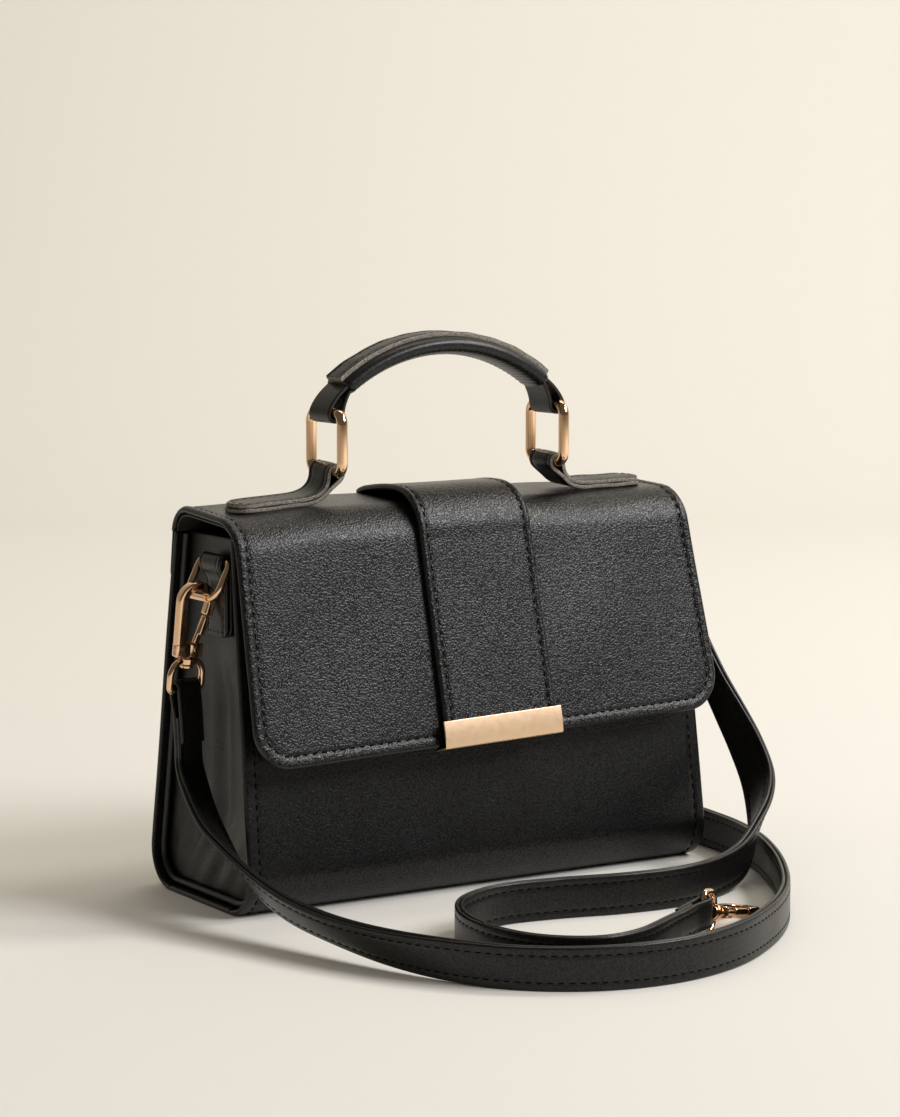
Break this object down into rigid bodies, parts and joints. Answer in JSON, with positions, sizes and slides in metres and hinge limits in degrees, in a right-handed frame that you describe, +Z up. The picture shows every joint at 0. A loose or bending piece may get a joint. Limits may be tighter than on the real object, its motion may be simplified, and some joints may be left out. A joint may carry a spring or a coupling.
{
  "type": "crossbody bag",
  "caption": "Small structured leather crossbody bag with a flap, a metal-tipped centre band, a padded top handle on rings and a clip-on shoulder strap.",
  "frame": {"origin": "middle of the base panel's underside, on the surface that the bag stands on", "axes": "+Z up; +X along the bag's width, to the right as seen from the front; +Y from the front to the back"},
  "size_m": [0.2548, 0.2465, 0.2245],
  "materials": {
    "black_leather": "fine pebbled grain, satin",
    "edge_paint": "smooth painted edge, satin",
    "light_gold": "polished light gold plating",
    "satin_gold": "satin light gold plating",
    "plated_steel": "nickel plated",
    "magnet": "matt",
    "lining_fabric": "plain weave, matt",
    "fibre_board": "raw fibre board",
    "foam": "open foam"
  },
  "bodies": {
    "bag_body": {"front_panel": "black_leather", "back_panel": "black_leather", "base_panel": "black_leather", "left_gusset": "black_leather", "right_gusset": "black_leather", "left_piping": "edge_paint", "right_piping": "edge_paint", "front_board": "fibre_board", "back_board": "fibre_board", "base_board": "fibre_board", "lining": "lining_fabric", "slip_pocket": "lining_fabric", "left_side_tab": "black_leather", "right_side_tab": "black_leather", "snap_socket": "light_gold", "snap_magnet": "magnet", "socket_washer": "plated_steel", "shoulder_strap": "black_leather", "left_strap_end": "black_leather", "free_strap_end": "black_leather", "left_eye_ring": "light_gold", "free_eye_ring": "light_gold"},
    "flap_body": {"flap": "black_leather", "flap_lining": "lining_fabric", "stud_washer": "plated_steel", "centre_band": "black_leather", "band_plate": "satin_gold", "snap_stud": "light_gold", "left_anchor_tab": "black_leather", "right_anchor_tab": "black_leather"},
    "left_ring": {"left_handle_ring": "light_gold"},
    "right_ring": {"right_handle_ring": "light_gold"},
    "handle": {"handle_strap": "black_leather", "handle_grip": "black_leather", "grip_padding": "foam"},
    "left_side_ring_body": {"left_side_ring": "light_gold"},
    "right_side_ring_body": {"right_side_ring": "light_gold"},
    "left_hook": {"left_hook_frame": "light_gold", "left_gate_pin": "light_gold"},
    "left_gate": {"left_hook_gate": "light_gold"},
    "free_hook": {"free_hook_frame": "light_gold", "free_gate_pin": "light_gold"},
    "free_gate": {"free_hook_gate": "light_gold"}
  },
  "joints": [
    {"name": "flap_hinge", "type": "hinge", "parent": "bag_body", "child": "flap_body", "pos_m": [0, 0.0252, 0.14615], "axis": [1, 0, 0], "range_deg": [-170, 0]},
    {"name": "left_ring_swing", "type": "hinge", "parent": "flap_body", "child": "left_ring", "pos_m": [-0.053, -0.005, 0.1692], "axis": [0, 1, 0], "range_deg": [-60, 60]},
    {"name": "right_ring_swing", "type": "hinge", "parent": "flap_body", "child": "right_ring", "pos_m": [0.053, -0.005, 0.1692], "axis": [0, 1, 0], "range_deg": [-60, 60]},
    {"name": "handle_pivot", "type": "hinge", "parent": "left_ring", "child": "handle", "pos_m": [-0.053, -0.005, 0.1927], "axis": [0, 1, 0], "range_deg": [-60, 60]},
    {"name": "left_side_ring_swing", "type": "hinge", "parent": "bag_body", "child": "left_side_ring_body", "pos_m": [-0.10527, -0.0085, 0.137], "axis": [0, 1, 0], "range_deg": [-2, 5]},
    {"name": "right_side_ring_swing", "type": "hinge", "parent": "bag_body", "child": "right_side_ring_body", "pos_m": [0.10527, -0.0085, 0.137], "axis": [0, 1, 0], "range_deg": [-3, 3]},
    {"name": "left_hook_swivel", "type": "hinge", "parent": "bag_body", "child": "left_hook", "pos_m": [-0.11645, -0.00581, 0.10085], "axis": [0.0301, -0.1203, 0.9923], "range_deg": [-6, 6]},
    {"name": "left_gate_hinge", "type": "hinge", "parent": "left_hook", "child": "left_gate", "pos_m": [-0.11359, -0.00604, 0.10275], "axis": [0.0014, -0.9927, -0.1204], "range_deg": [0, 25], "stiffness_Nm_per_rad": 0.02},
    {"name": "free_hook_swivel", "type": "hinge", "parent": "bag_body", "child": "free_hook", "pos_m": [0.03459, -0.14773, 0.00726], "axis": [0.8283, 0.5325, -0.1741], "continuous": true},
    {"name": "free_gate_hinge", "type": "hinge", "parent": "free_hook", "child": "free_gate", "pos_m": [0.03776, -0.14902, 0.00691], "axis": [0.1465, 0.0942, 0.9847], "range_deg": [0, 25], "stiffness_Nm_per_rad": 0.02}
  ],
  "couplings": [
    {"joint": "right_ring_swing", "follows": "left_ring_swing", "ratio": 1},
    {"joint": "handle_pivot", "follows": "left_ring_swing", "ratio": -1}
  ]
}
